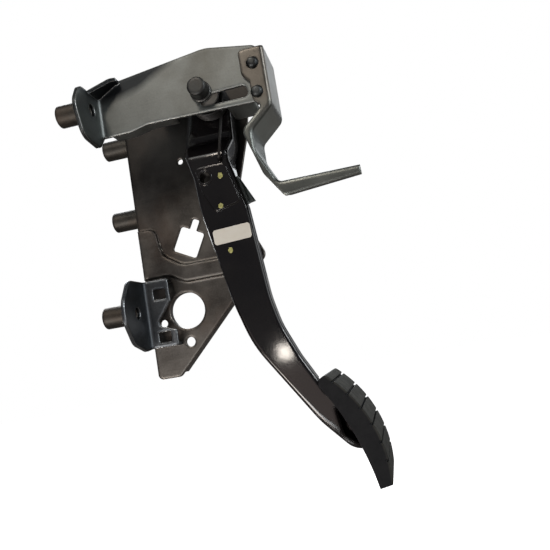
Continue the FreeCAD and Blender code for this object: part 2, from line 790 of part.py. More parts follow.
pocket(
    rubber,
    sketch_on(rubber, "XZ_Plane", f"{PAD_NEAR} + Sizes.pad_border - Sizes.pad_seat_gap", seat),
    "Sizes.pad_width - 2 * Sizes.pad_border + 2 * Sizes.pad_seat_gap",
)
mouth_ends = (along(2 * pad_border - plate_lower, plate_back), along(plate_upper + seat_gap, plate_back))
mouth = arc_band(back_centre, back_radius - 2 * size("pad_lip"), plate_back, *mouth_ends)
pocket(
    rubber,
    sketch_on(rubber, "XZ_Plane", f"{PAD_NEAR} + 2 * Sizes.pad_border", mouth),
    "Sizes.pad_width - 4 * Sizes.pad_border",
)
grooves = []
half_groove = size("groove_width") / 2
for step in range(GROOVE_COUNT):
    place = size("tread_upper") - size("groove_margin") - step * size("groove_pitch")
    outward = polar(vector(0, 0), 1, along(place, tread_radius))
    across = vector(-outward.y, outward.x) * half_groove
    floor = tread_centre + outward * (tread_radius - size("groove_depth"))
    opening = tread_centre + outward * (tread_radius + size("groove_depth"))
    corners = (floor - across, opening - across, opening + across, floor + across)
    grooves.append([(corner.x, corner.y) for corner in corners])
pocket(rubber, sketch_on(rubber, "XZ_Plane", PAD_NEAR, *grooves), "Sizes.pad_width")

# Pedal arm: a shallow pressed channel, open on its far side. Above the fold its web steps back,
# and its walls widen there to carry the hub. A raised panel stiffens the web round the pin
arm = new_body("pedal_arm")
arm_wall = size("arm_wall")
fold_z = size("fold_z")
fold_left = pivot_x - size("fold_overhang")
fold_right = fold_left + size("fold_width")
joggle = size("joggle")
head_radius = hub_outer + arm_wall - size("weld_bite")
waist_left = pivot_x - size("waist_overhang")
waist_right = waist_left + size("arm_width")
waist_z = size("waist_z")
knee_x = pivot_x + size("knee_reach")
knee_z = size("knee_z")
knee_right = knee_x + size("arm_width")
tab_corner = (waist_right - 5.7, fold_z - 43, 12)
arm_outline = [
    (pivot_x - head_radius, pivot_z + head_radius, head_radius - 0.5),
    (fold_left - 2, fold_z + 9, 12),
    (fold_left + 3.8, fold_z - 16, 20),
    (fold_left + 5.2, fold_z - 39, 60),
    (waist_left, waist_z, 120),
    (knee_x, knee_z, 90),
    (foot_x - 23.3, foot_z + 7, 80),
    (foot_x - 4.8, foot_z - 13, 14),
    (foot_x + 20, foot_z - 18),
    (foot_x + 10, foot_z + 21),
    (foot_x - 15, foot_z + 27, 6),
    (knee_right + 4.5, knee_z - 11.5, 50),
    (knee_right - 5.2, knee_z + 12, 60),
    (waist_right, waist_z, 100),
    tab_corner,
    (fold_right, fold_z - 3, 20),
    (pivot_x + 12, fold_z + 11, 12),
    (pivot_x + head_radius, pivot_z + head_radius, head_radius - 0.5),
]
blank = sketch_on(arm, "XZ_Plane", "Sizes.arm_face", arm_outline)
pad(arm, blank, f"({HUB_END}) - Sizes.arm_face", flip=True)
head_web = arm_face + joggle
near_step = [
    (near_inner, fold_z),
    (arm_face, fold_z),
    (head_web, fold_z + joggle),
    (head_web, pivot_z + 2 * head_radius),
    (near_inner, pivot_z + 2 * head_radius),
]
pocket(arm, sketch_on(arm, "YZ_Plane", "0", near_step), flip=True)
far_step = [
    (far_back, fold_z + 3),
    (hub_end, fold_z + 3),
    (arm_far, fold_z - 21),
    (arm_far, 2 * foot_z),
    (far_back, 2 * foot_z),
]
pocket(arm, sketch_on(arm, "YZ_Plane", "0", far_step), flip=True)
fillet(arm, "Sizes.arm_edge_radius", lambda edge: edge.BoundBox.YMax < arm_face + 0.01)
inner = shifted(arm_outline, arm_wall, True)
inner_left = fold_left + arm_wall + 1.3
inner_right = fold_right - arm_wall
channel = [(inner_left, fold_z - 5)] + inner[2:15] + [(inner_right, fold_z - 5)]
pocket(arm, sketch_on(arm, "XZ_Plane", "Sizes.arm_face + Sizes.arm_wall", channel))
head_space = inner[:2] + [(inner_left + 1, fold_z - 6), (inner_right - 1, fold_z - 6)] + inner[16:]
pocket(arm, sketch_on(arm, "XZ_Plane", "Sizes.arm_face + Sizes.joggle + Sizes.arm_wall", head_space))
slope = [
    (arm_face + arm_wall, fold_z - 6),
    (arm_face + arm_wall, fold_z - 4),
    (head_web + arm_wall, fold_z + joggle - 4),
    (hub_end, fold_z + joggle - 4),
    (hub_end, fold_z - 6),
]
pocket(
    arm,
    sketch_on(arm, "YZ_Plane", "Sizes.pivot_x - Sizes.fold_overhang + Sizes.arm_wall + 2.5", slope),
    "Sizes.fold_width - 2 * Sizes.arm_wall - 4",
    flip=True,
)
cut_depth = plate_back + back_radius / 3
foot_cut = arc_band(back_centre, plate_back - seat_gap, cut_depth, PAD_TILT - 24, PAD_TILT + 14)
pocket(arm, sketch_on(arm, "XZ_Plane", NEAR_INNER, foot_cut))
lip_start = along(plate_upper - size("pad_lip"), plate_back)
lip_cut = arc_band(back_centre, back_radius - 5 * seat_gap, cut_depth, lip_start, PAD_TILT + 14)
pocket(arm, sketch_on(arm, "XZ_Plane", NEAR_INNER, lip_cut))
web_end = [
    (foot_x - 11.5, foot_z + 15),
    (foot_x - 8.5, foot_z - 4, 2),
    (foot_x + 6, foot_z - 15),
    (foot_x + 12, foot_z + 15),
]
pocket(arm, sketch_on(arm, "XZ_Plane", NEAR_INNER, web_end), "Sizes.arm_face - Sizes.near_face")
panel = [
    (fold_left + 6, fold_z - 9, 3),
    (fold_left + 9.5, fold_z - 28, 6),
    (pivot_x - 6, fold_z - 43.5, 4),
    (tab_corner[0] - 4, fold_z - 38.5, 3),
    (fold_right - 2, fold_z - 9, 3),
]
pad(arm, sketch_on(arm, "XZ_Plane", "Sizes.arm_face", panel), "Sizes.panel_rise")
panel_face = arm_face - size("panel_rise")
fillet(arm, "Sizes.panel_edge", lambda edge: edge.BoundBox.YMax < panel_face + 0.01)
pin_x = pivot_x - size("pin_back")
pin_z = size("pin_z")
bush_outer = size("pin_radius") + size("pin_bush_wall")
hook_x = pivot_x + 3
hook_z = fold_z - 6
arm_holes = [
    (pivot_x, pivot_z, hub_outer),
    (pin_x, pin_z, bush_outer),
    (hook_x, hook_z, size("wire_radius") + size("coil_gap")),
]
pocket(arm, sketch_on(arm, "XZ_Plane", NEAR_INNER, *arm_holes))

# Pushrod bush: steel tube through the web for the pushrod's clevis pin
pin_bush = new_body("pushrod_bush")
pin_ring = sketch_on(
    pin_bush,
    "XZ_Plane",
    "Sizes.arm_face - Sizes.panel_rise - Sizes.pin_bush_stand",
    (pin_x, pin_z, bush_outer),
    (pin_x, pin_z, size("pin_radius")),
)
pad(pin_bush, pin_ring, "Sizes.pin_bush_length", flip=True)


# Switch tab: zinc-plated blade on a foot welded along the arm's rear wall; it works the stop lamp switch
def rear_wall(z):
    """Place of the arm's rear wall between the fold and the tab's corner."""
    share = (fold_z - 3 - z) / (fold_z - 3 - tab_corner[1])
    return fold_right + (tab_corner[0] - fold_right) * share


tab = new_body("switch_tab")
tab_top = pin_z - 2.5
tab_bottom = tab_top - size("tab_height")
tab_foot = size("tab_foot")
TAB_NEAR = "Sizes.arm_face + Sizes.arm_edge_radius"
foot_strip = [
    (rear_wall(tab_top), tab_top),
    (rear_wall(tab_top) + tab_foot, tab_top),
    (rear_wall(tab_bottom) + tab_foot, tab_bottom),
    (rear_wall(tab_bottom), tab_bottom),
]
pad(tab, sketch_on(tab, "XZ_Plane", TAB_NEAR, foot_strip), "2 * Sizes.tab_wall", flip=True)
blade = [
    (rear_wall(tab_top), tab_top),
    (rear_wall(tab_top) + tab_foot + 1, tab_top - 2),
    (rear_wall(tab_bottom) + size("tab_reach"), tab_bottom + 1),
    (rear_wall(tab_bottom), tab_bottom),
]
BLADE_NEAR = f"{TAB_NEAR} + Sizes.tab_foot"
pad(tab, sketch_on(tab, "XZ_Plane", BLADE_NEAR, blade), "Sizes.tab_wall", flip=True)

# Label: a small plain label stuck on the web
label = new_body("arm_label")
label_centre = (pivot_x + size("label_reach"), size("label_z"))
label_turn = math.radians(LABEL_TILT)
label_corners = []
for right, upper in ((-1, -1), (1, -1), (1, 1), (-1, 1)):
    u = right * size("label_width") / 2
    v = upper * size("label_height") / 2
    label_corners.append((
        label_centre[0] + u * math.cos(label_turn) - v * math.sin(label_turn),
        label_centre[1] + u * math.sin(label_turn) + v * math.cos(label_turn),
        2,
    ))
label_outline = sketch_on(label, "XZ_Plane", "Sizes.arm_face - Sizes.label_wall", label_corners)
pad(label, label_outline, "Sizes.label_wall", flip=True)

# Return spring: a torsion spring round the hub. Its near leg runs down the arm and hooks into
# the web, its far leg stands against the roof
wire = size("wire_radius")
coil_radius = hub_outer + size("coil_gap") + wire
coil_start = arm_face - wire - size("coil_stand")
hook_angle = math.atan2(hook_z - pivot_z, hook_x - pivot_x)
hook_distance = math.hypot(hook_x - pivot_x, hook_z - pivot_z)
start_angle = hook_angle + math.acos(coil_radius / hook_distance)
end_angle = math.radians(45)
coil_turns = size("coil_turns") + (end_angle - start_angle) / (2 * math.pi)
coil_steps = round(COIL_FACETS * coil_turns)
along_y = FreeCAD.Vector(0, 1, 0)


def coil_place(share):
    """Place on the coil's line, from its near end to its far end."""
    angle = start_angle + share * coil_turns * 2 * math.pi
    x = pivot_x + coil_radius * math.cos(angle)
    z = pivot_z + coil_radius * math.sin(angle)
    return FreeCAD.Vector(x, coil_start + share * coil_turns * size("coil_pitch"), z)


hook_corner = FreeCAD.Vector(hook_x, coil_start, hook_z)
hook_end = hook_corner + along_y * (arm_face + arm_wall + wire - coil_start)
far_start = coil_place(1)
far_run = FreeCAD.Vector(-math.sin(end_angle), 0, math.cos(end_angle))
roof_under = roof_line(far_start.x) - wall - wire - size("end_gap")
far_length = (roof_under - far_start.z) / (far_run.z - far_run.x * roof_slope)
coil_line = [coil_place(step / coil_steps) for step in range(coil_steps + 1)]
spring_path = Part.makePolygon([hook_end, hook_corner] + coil_line + [far_start + far_run * far_length])
wire_section = Part.Wire(Part.makeCircle(wire, hook_end, along_y))
spring = doc.addObject("Part::Feature", "return_spring")
MITRED = 1
spring.Shape = spring_path.makePipeShell([wire_section], True, False, MITRED)
spring.Placement = FreeCAD.Placement()
NODES.append(spring)

doc.recompute()
for item in doc.Objects:
    faults = [state for state in item.State if state in ("Invalid", "Error")]
    if faults:
        raise RuntimeError(f"{item.Label}: {faults}")
os.makedirs("parts", exist_ok=True)
for node in NODES:
    shape = node.Shape
    if shape.isNull() or not shape.isValid() or not shape.Solids:
        raise RuntimeError(f"{node.Label} has no sound shape")
    print(node.Label, len(shape.Solids), round(shape.Volume))
for node in NODES:
    node.Shape.exportStep(f"parts/{node.Label}.step")
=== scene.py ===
import math

import bpy
from mathutils import Matrix, Vector


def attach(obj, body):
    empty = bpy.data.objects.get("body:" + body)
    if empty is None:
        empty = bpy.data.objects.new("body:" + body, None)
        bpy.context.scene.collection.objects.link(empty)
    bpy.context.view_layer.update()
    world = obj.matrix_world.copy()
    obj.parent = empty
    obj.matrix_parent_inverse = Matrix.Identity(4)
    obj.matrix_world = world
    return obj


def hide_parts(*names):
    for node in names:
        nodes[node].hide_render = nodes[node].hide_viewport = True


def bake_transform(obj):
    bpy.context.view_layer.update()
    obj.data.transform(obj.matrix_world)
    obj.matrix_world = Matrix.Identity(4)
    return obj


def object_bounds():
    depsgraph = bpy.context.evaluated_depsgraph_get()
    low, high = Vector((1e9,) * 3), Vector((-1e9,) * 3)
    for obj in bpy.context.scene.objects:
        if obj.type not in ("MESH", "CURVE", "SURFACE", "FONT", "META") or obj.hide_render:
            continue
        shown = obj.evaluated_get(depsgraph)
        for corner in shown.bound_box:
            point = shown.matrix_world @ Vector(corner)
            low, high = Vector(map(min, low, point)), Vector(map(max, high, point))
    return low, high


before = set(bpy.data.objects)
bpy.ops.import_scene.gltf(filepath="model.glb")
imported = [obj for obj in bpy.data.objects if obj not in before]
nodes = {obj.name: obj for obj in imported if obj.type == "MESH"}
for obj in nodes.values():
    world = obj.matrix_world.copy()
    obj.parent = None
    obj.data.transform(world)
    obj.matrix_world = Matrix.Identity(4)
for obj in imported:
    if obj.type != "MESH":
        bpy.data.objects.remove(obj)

cad_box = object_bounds()


# Near side plate: one of the bracket's two sides, pressed from sheet steel and electroplated with zinc.
# Its front end is bent over into an ear for a bulkhead stud, and its top edge is turned out as a rim.
def put(tree, kind, inputs=None, **settings):
    """A shader node with its settings, its inputs given as values or as sockets to link."""
    node = tree.nodes.new("ShaderNode" + kind)
    for name, value in settings.items():
        setattr(node, name, value)
    for name, value in (inputs or {}).items():
        socket = node.inputs[name]
        if isinstance(value, bpy.types.NodeSocket):
            tree.links.new(value, socket)
        else:
            socket.default_value = value
    return node


def mix_colour(tree, factor, first, second):
    """Colour between two colours, as a socket."""
    return put(tree, "Mix", {0: factor, 6: first, 7: second}, data_type="RGBA").outputs[2]


def calculate(tree, operation, first, second=0.0, third=0.0):
    """Result of one sum on sockets or numbers, as a socket."""
    return put(tree, "Math", {0: first, 1: second, 2: third}, operation=operation).outputs[0]


def spread(tree, value, low, high, out_low=0.0, out_high=1.0):
    """A value spread from one range over another and kept inside it, as a socket."""
    limits = {"Value": value, 1: low, 2: high, 3: out_low, 4: out_high}
    return put(tree, "MapRange", limits).outputs["Result"]


def grain(tree, scale, detail=3.0, stretch=(1, 1, 1)):
    """Noise fixed to the piece, stretched along its axes where it is wanted so, as a socket."""
    place = put(tree, "TexCoord").outputs["Object"]
    if stretch != (1, 1, 1):
        place = put(tree, "Mapping", {"Vector": place, "Scale": stretch}).outputs["Vector"]
    noise = put(tree, "TexNoise", {"Vector": place, "Scale": scale, "Detail": detail, "Roughness": 0.6})
    return noise.outputs["Fac"]


def place_on_piece(tree):
    """The X, Y and Z of a spot on the piece, in metres, as sockets."""
    return put(tree, "SeparateXYZ", {0: put(tree, "TexCoord").outputs["Object"]}).outputs


def new_group(name, inputs, outputs):
    """An empty shader node group with named sockets, and its two end nodes."""
    group = bpy.data.node_groups.new(name, "ShaderNodeTree")
    for label, value in inputs.items():
        kind = "NodeSocketFloat" if isinstance(value, float) else "NodeSocketColor"
        group.interface.new_socket(label, in_out="INPUT", socket_type=kind).default_value = value
    for label in outputs:
        kind = "NodeSocketColor" if label == "Colour" else "NodeSocketFloat"
        group.interface.new_socket(label, in_out="OUTPUT", socket_type=kind)
    return group, group.nodes.new("NodeGroupInput").outputs, group.nodes.new("NodeGroupOutput").inputs


def zinc_coat_group():
    """Zinc plating: cloudy tone, rolling lines of the sheet, fine flecks, and brown stains."""
    group, given, result = new_group(
        "zinc_coat",
        {
            "Pale": (0.5, 0.5, 0.47, 1),
            "Deep": (0.3, 0.3, 0.28, 1),
            "Stain": (0.12, 0.09, 0.07, 1),
            "Stain Amount": 0.3,
            "Dullness": 0.4,
        },
        ("Colour", "Roughness", "Height"),
    )
    cloud = grain(group, 38, 5)
    fleck = grain(group, 850, 2)
    rolling = grain(group, 1, 3, (30, 620, 620))
    tone = calculate(group, "MULTIPLY_ADD", cloud, 0.6, calculate(group, "MULTIPLY", fleck, 0.22))
    tone = calculate(group, "MULTIPLY_ADD", rolling, 0.08, tone)
    plated = mix_colour(group, spread(group, tone, 0.32, 0.58), given["Deep"], given["Pale"])
    blot = calculate(group, "MULTIPLY", spread(group, grain(group, 16, 8), 0.5, 0.72), given["Stain Amount"])
    group.links.new(mix_colour(group, blot, plated, given["Stain"]), result["Colour"])
    dull = calculate(group, "MULTIPLY_ADD", calculate(group, "SUBTRACT", cloud, 0.5), 0.3, given["Dullness"])
    group.links.new(calculate(group, "MULTIPLY_ADD", blot, 0.2, dull), result["Roughness"])
    group.links.new(calculate(group, "MULTIPLY_ADD", rolling, 0.2, fleck), result["Height"])
    return group


def edge_wear_group():
    """Mask of the outer edges of a piece, broken up as handling leaves them."""
    group, given, result = new_group("edge_wear", {"Width": 0.0008, "Breaks": 0.5}, ("Mask",))
    rounded = put(group, "Bevel", {"Radius": given["Width"]}, samples=6).outputs["Normal"]
    true_normal = put(group, "NewGeometry").outputs["Normal"]
    turn = put(group, "VectorMath", {0: rounded, 1: true_normal}, operation="DOT_PRODUCT").outputs["Value"]
    edge = spread(group, turn, 0.995, 0.86)
    breaks = spread(group, grain(group, 240, 4), 0.38, 0.62)
    kept = calculate(group, "SUBTRACT", 1.0, calculate(group, "MULTIPLY", breaks, given["Breaks"]))
    group.links.new(calculate(group, "MULTIPLY", edge, kept), result["Mask"])
    return group


zinc_coat = zinc_coat_group()
edge_wear = edge_wear_group()


def new_material(name, metallic):
    """A node material, its tree and the inputs of its shader."""
    material = bpy.data.materials.new(name)
    material.use_nodes = True
    shader = material.node_tree.nodes["Principled BSDF"]
    shader.inputs["Metallic"].default_value = metallic
    return material, material.node_tree, shader.inputs


def use_group(tree, group, **values):
    """A node group placed in a material with its own values; gives its outputs."""
    node = put(tree, "Group", node_tree=group)
    for name, value in values.items():
        node.inputs[name.replace("_", " ")].default_value = value
    return node.outputs


def zinc_finish(name, pale, deep, stain, stain_amount, dullness, edge, painted_light_mask=None, painted_light_colour=None):
    """Plated steel with bright worn edges, and painted light or shade where a mask of it is given."""
    press_radius = 0.003
    edge_polish = 0.14
    material, tree, shader = new_material(name, 1.0)
    coat = use_group(
        tree, zinc_coat, Pale=(*pale, 1), Deep=(*deep, 1), Stain=(*stain, 1),
        Stain_Amount=stain_amount, Dullness=dullness,
    )
    colour = coat["Colour"]
    # Painted light or shade: the mask mixes in a colour that stands for light or shadow on the piece.
    if painted_light_mask:
        colour = mix_colour(tree, painted_light_mask(tree), colour, (*painted_light_colour, 1))
    worn = use_group(tree, edge_wear, Width=0.0007, Breaks=0.45)["Mask"]
    tree.links.new(mix_colour(tree, worn, colour, (*edge, 1)), shader["Base Color"])
    smooth = calculate(tree, "MULTIPLY_ADD", worn, -edge_polish, coat["Roughness"])
    tree.links.new(smooth, shader["Roughness"])
    pressed = put(tree, "Bevel", {"Radius": press_radius}, samples=8).outputs["Normal"]
    surface = {"Height": coat["Height"], "Normal": pressed, "Strength": 0.12, "Distance": 0.0002}
    tree.links.new(put(tree, "Bump", surface).outputs["Normal"], shader["Normal"])
    return material


def dress(node, material, softness=0.0003, segments=2):
    """Give a solid its finish and take the sharpness off its edges."""
    piece = nodes[node]
    piece.data.materials.clear()
    piece.data.materials.append(material)
    weld = piece.modifiers.new("joined_facets", "WELD")
    weld.merge_threshold = 0.00001
    flat = piece.modifiers.new("flat_faces", "DECIMATE")
    flat.decimate_type = "DISSOLVE"
    flat.angle_limit = math.radians(0.4)
    soft = piece.modifiers.new("soft_edges", "BEVEL")
    soft.width = softness
    soft.segments = segments
    soft.limit_method = "ANGLE"
    soft.angle_limit = math.radians(35)
    soft.use_clamp_overlap = True
    shading = piece.modifiers.new("even_shading", "WEIGHTED_NORMAL")
    shading.keep_sharp = False
    shading.weight = 80


def painted_rim_shade(tree):
    """Mask of painted shade: the ear painted dark, and a dark wedge painted up under the rim from the ear."""
    ear_bend = 0.0252
    ear_blur = 0.0005
    ear_depth = 0.72
    wedge_foot = 0.0075
    wedge_turn = 0.050
    wedge_rise = 0.55
    wedge_bow = 0.014
    wedge_blur = 0.007
    wedge_ragged = 0.003
    wedge_depth = 0.92
    place = place_on_piece(tree)
    beyond_turn = calculate(tree, "SUBTRACT", place["X"], wedge_turn)
    climb = calculate(tree, "MULTIPLY", beyond_turn, wedge_rise)
    lower_edge = calculate(tree, "SMOOTH_MAX", climb, 0.0, wedge_bow)
    height = calculate(tree, "SUBTRACT", calculate(tree, "SUBTRACT", place["Z"], lower_edge), wedge_foot)
    height = calculate(tree, "MULTIPLY_ADD", grain(tree, 60, 3), wedge_ragged, height)
    ear = spread(tree, place["X"], ear_bend, ear_bend - ear_blur, 0.0, ear_depth)
    return calculate(tree, "MAXIMUM", ear, spread(tree, height, 0.0, wedge_blur, 0.0, wedge_depth))


# Painted shade: the near plate's ear and a wedge under its rim are painted darker.
olive_zinc = zinc_finish(
    "olive_zinc",
    pale=(0.215, 0.232, 0.228),
    deep=(0.145, 0.155, 0.151),
    stain=(0.10, 0.09, 0.07),
    stain_amount=0.45,
    dullness=0.47,
    edge=(0.66, 0.67, 0.65),
    painted_light_mask=painted_rim_shade,
    painted_light_colour=(0.022, 0.025, 0.029),
)
dress("near_side_plate", olive_zinc, softness=0.0007, segments=3)


# Far side plate: the long pressed steel side behind the arm, with its beads, cut-outs and a lipped hole.
# It has the same plating, browner, with painted shadow on the top of its inner face near the pivot.
# Its bent edge carries the two studs of the far side.
def painted_plate_shadow(tree):
    """Mask of painted shadow on the top of the plate's inner face, patchy towards its lower edge."""
    shadow_end = -0.055
    shadow_full = -0.012
    shadow_ragged = 0.05
    shadow_depth = 0.75
    coordinates = put(tree, "TexCoord").outputs
    height = put(tree, "SeparateXYZ", {0: coordinates["Object"]}).outputs["Z"]
    height = calculate(tree, "MULTIPLY_ADD", grain(tree, 34, 4), shadow_ragged, height)
    inner = spread(tree, put(tree, "SeparateXYZ", {0: coordinates["Normal"]}).outputs["Y"], -0.2, -0.7)
    painted_shadow = spread(tree, height, shadow_end, shadow_full, 0.0, shadow_depth)
    return calculate(tree, "MULTIPLY", inner, painted_shadow)


brown_zinc = zinc_finish(
    "brown_zinc",
    pale=(0.14, 0.134, 0.125),
    deep=(0.068, 0.063, 0.058),
    stain=(0.09, 0.06, 0.045),
    stain_amount=0.55,
    dullness=0.4,
    edge=(0.5, 0.45, 0.4),
    painted_light_mask=painted_plate_shadow,
    painted_light_colour=(0.026, 0.025, 0.025),
)
dress("far_side_plate", brown_zinc)

# Lower mount bracket: a small pressed steel box spot-welded on the far plate, with the ear of the lower stud.
# Its zinc plating is a darker slate, with pale cut edges.
slate_zinc = zinc_finish(
    "slate_zinc",
    pale=(0.15, 0.163, 0.176),
    deep=(0.07, 0.077, 0.086),
    stain=(0.05, 0.05, 0.05),
    stain_amount=0.4,
    dullness=0.38,
    edge=(0.62, 0.64, 0.64),
)
dress("lower_mount_bracket", slate_zinc)

# Stud collars: four turned steel spacer tubes between the bracket and the bulkhead.
# They are pressed on behind the ears, dull and a little rusty.
collar_finish = zinc_finish(
    "collar_finish",
    pale=(0.078, 0.075, 0.069),
    deep=(0.039, 0.037, 0.034),
    stain=(0.1, 0.06, 0.035),
    stain_amount=0.5,
    dullness=0.52,
    edge=(0.4, 0.38, 0.34),
)
dress("stud_collars", collar_finish)


# Brace strut: a bent angle of zinc-plated sheet steel, which ties the bracket to a beam.
# Riveted on the near plate, it is brownish there; below the bracket it has painted light, lighter and cooler.
def painted_strut_light(tree):
    """Mask of painted light: the strut below the bracket is painted lighter and cooler."""
    light_start = -0.012
    light_full = -0.03
    light_depth = 0.75
    return spread(tree, place_on_piece(tree)["Z"], light_start, light_full, 0.0, light_depth)


strut_zinc = zinc_finish(
    "strut_zinc",
    pale=(0.17, 0.16, 0.142),
    deep=(0.1, 0.093, 0.083),
    stain=(0.12, 0.1, 0.08),
    stain_amount=0.4,
    dullness=0.36,
    edge=(0.66, 0.65, 0.62),
    painted_light_mask=painted_strut_light,
    painted_light_colour=(0.19, 0.21, 0.2),
)
dress("brace_strut", strut_zinc, softness=0.0005)

# Strut rivets: two domed steel rivets through the strut and the near plate.
# They are of the same dark plated steel as the pivot bolt.
bolt_finish = zinc_finish(
    "bolt_finish",
    pale=(0.07, 0.076, 0.078),
    deep=(0.038, 0.041, 0.042),
    stain=(0.08, 0.06, 0.045),
    stain_amount=0.35,
    dullness=0.4,
    edge=(0.5, 0.5, 0.48),
)
dress("strut_rivets", bolt_finish)

# Pivot: a round-headed steel bolt through both plates, with two washers and a nut.
# It clamps the sleeve between the plates, and the hub swings on that sleeve.
for piece_name in ("pivot_bolt", "pivot_washer_near", "pivot_washer_far", "pivot_nut", "pivot_sleeve"):
    dress(piece_name, bolt_finish)


# Hub and arm: the steel tube that swings on the sleeve and the pressed channel welded round it.
# Both are dipped in gloss black paint, which lies in a faint orange peel and runs softly over the fold
# at the arm's top and over the edges of its foot.
def black_paint_finish():
    blue_black = (0.002, 0.0016, 0.0024, 1)
    brown_black = (0.0045, 0.0037, 0.004, 1)
    dust_colour = (0.10, 0.09, 0.08, 1)
    rubbed_colour = (0.12, 0.11, 0.10, 1)
    edge_radius = 0.0008
    fold_radius = 0.0055
    fold_start = -0.048
    fold_full = -0.044
    foot_radius = 0.007
    foot_start = -0.19
    foot_full = -0.25
    material, tree, shader = new_material("black_paint", 0.0)
    cloud = grain(tree, 26, 4)
    colour = mix_colour(tree, spread(tree, cloud, 0.35, 0.65), blue_black, brown_black)
    dust = spread(tree, grain(tree, 1400, 2), 0.66, 0.78, 0.0, 0.1)
    colour = mix_colour(tree, dust, colour, dust_colour)
    worn = use_group(tree, edge_wear, Width=0.0006, Breaks=0.9)["Mask"]
    worn = calculate(tree, "MULTIPLY", worn, 0.25)
    tree.links.new(mix_colour(tree, worn, colour, rubbed_colour), shader["Base Color"])
    tree.links.new(spread(tree, grain(tree, 70, 5), 0.3, 0.7, 0.3, 0.42), shader["Roughness"])
    tree.links.new(spread(tree, grain(tree, 45, 3), 0.3, 0.7, 0.05, 0.08), shader["Coat Roughness"])
    shader["Coat Weight"].default_value = 1.0
    shader["Specular IOR Level"].default_value = 0.1
    height = place_on_piece(tree)["Z"]
    fold_round = spread(tree, height, fold_start, fold_full, edge_radius, fold_radius)
    foot_round = spread(tree, height, foot_full, foot_start, foot_radius, edge_radius)
    roundness = calculate(tree, "MAXIMUM", fold_round, foot_round)
    pressed = put(tree, "Bevel", {"Radius": roundness}, samples=16).outputs["Normal"]
    surface = {"Height": grain(tree, 420, 2), "Normal": pressed, "Strength": 0.012, "Distance": 0.0004}
    peel = put(tree, "Bump", surface)
    tree.links.new(peel.outputs["Normal"], shader["Normal"])
    tree.links.new(peel.outputs["Normal"], shader["Coat Normal"])
    return material


black_paint = black_paint_finish()
dress("hub_tube", black_paint)
dress("pedal_arm", black_paint, softness=0.0004)


# Pivot bushes: two flanged bushes moulded in plastic and pressed into the hub's ends.
# They are a dull grey, darker where dust has stuck.
def bush_finish():
    clean_grey = (0.16, 0.15, 0.135, 1)
    dusty_grey = (0.08, 0.075, 0.065, 1)
    material, tree, shader = new_material("bush_plastic", 0.0)
    dusty = spread(tree, grain(tree, 120, 5), 0.4, 0.7)
    tree.links.new(mix_colour(tree, dusty, clean_grey, dusty_grey), shader["Base Color"])
    tree.links.new(spread(tree, grain(tree, 300, 3), 0.3, 0.7, 0.45, 0.65), shader["Roughness"])
    return material


bush_plastic = bush_finish()
for piece_name in ("pivot_bush_near", "pivot_bush_far"):
    dress(piece_name, bush_plastic)

# Pushrod bush: a steel tube for the clevis pin of the brake's pushrod.
# It is pressed through the arm's web and painted with the arm.
dress("pushrod_bush", black_paint)

# Switch tab: a small angle of zinc-plated sheet, which works the stop lamp switch.
# It is welded on the arm's rear wall.
tab_zinc = zinc_finish(
    "tab_zinc",
    pale=(0.14, 0.165, 0.165),
    deep=(0.08, 0.095, 0.098),
    stain=(0.12, 0.12, 0.11),
    stain_amount=0.25,
    dullness=0.32,
    edge=(0.66, 0.68, 0.68),
)
dress("switch_tab", tab_zinc)

# Foot plate: the curved steel plate that the rubber pad is stretched over.
# It is welded on the arm's end and painted with the arm.
dress("foot_plate", black_paint)


# Rubber pad: a moulded rubber cover that grips round the foot plate, with a grooved tread.
# The tread is greyed by dust and shoes, and the skirt stays darker and bluer.
def rubber_finish():
    tread_centre = Vector((0.102285, 0, -0.27367))
    tread_radius = 0.085
    scuff_start = 0.0016
    scuff_full = 0.0004
    skirt_black = (0.0028, 0.0033, 0.0045, 1)
    skirt_blue = (0.0055, 0.006, 0.0075, 1)
    scuff_grey = (0.037, 0.037, 0.031, 1)
    material, tree, shader = new_material("pad_rubber", 0.0)
    place = put(tree, "TexCoord").outputs["Object"]
    spoke = put(tree, "VectorMath", {0: place, 1: tread_centre}, operation="SUBTRACT").outputs["Vector"]
    spoke = put(tree, "VectorMath", {0: spoke, 1: (1, 0, 1)}, operation="MULTIPLY").outputs["Vector"]
    reach = put(tree, "VectorMath", {0: spoke}, operation="LENGTH").outputs["Value"]
    tread = spread(tree, reach, tread_radius - scuff_start, tread_radius - scuff_full)
    scuff = calculate(tree, "MULTIPLY", tread, spread(tree, grain(tree, 90, 6), 0.32, 0.68, 0.35, 1.0))
    colour = mix_colour(tree, grain(tree, 60, 4), skirt_black, skirt_blue)
    tree.links.new(mix_colour(tree, scuff, colour, scuff_grey), shader["Base Color"])
    tree.links.new(spread(tree, grain(tree, 200, 4), 0.3, 0.7, 0.55, 0.75), shader["Roughness"])
    shader["Specular IOR Level"].default_value = 0.2
    pebble = calculate(tree, "MULTIPLY_ADD", grain(tree, 2200, 2), 0.5, grain(tree, 500, 3))
    relief = put(tree, "Bump", {"Height": pebble, "Strength": 0.25, "Distance": 0.0003})
    tree.links.new(relief.outputs["Normal"], shader["Normal"])
    return material


dress("rubber_pad", rubber_finish(), softness=0.0006, segments=3)


# Label: a small plain label of cream paper under clear film, stuck across the arm's web.
# The paper's fibres run along it, and fingers have left smudges.
def label_finish():
    cream = (0.6, 0.585, 0.53, 1)
    fibre_cream = (0.52, 0.505, 0.455, 1)
    smudge_brown = (0.5, 0.46, 0.39, 1)
    material, tree, shader = new_material("label_film", 0.0)
    fibre = grain(tree, 1, 4, (300, 300, 2200))
    colour = mix_colour(tree, fibre, cream, fibre_cream)
    smudge = spread(tree, grain(tree, 85, 6), 0.48, 0.75, 0.0, 0.5)
    tree.links.new(mix_colour(tree, smudge, colour, smudge_brown), shader["Base Color"])
    tree.links.new(spread(tree, grain(tree, 160, 3), 0.3, 0.7, 0.3, 0.5), shader["Roughness"])
    return material


dress("arm_label", label_finish(), softness=0.0001, segments=1)

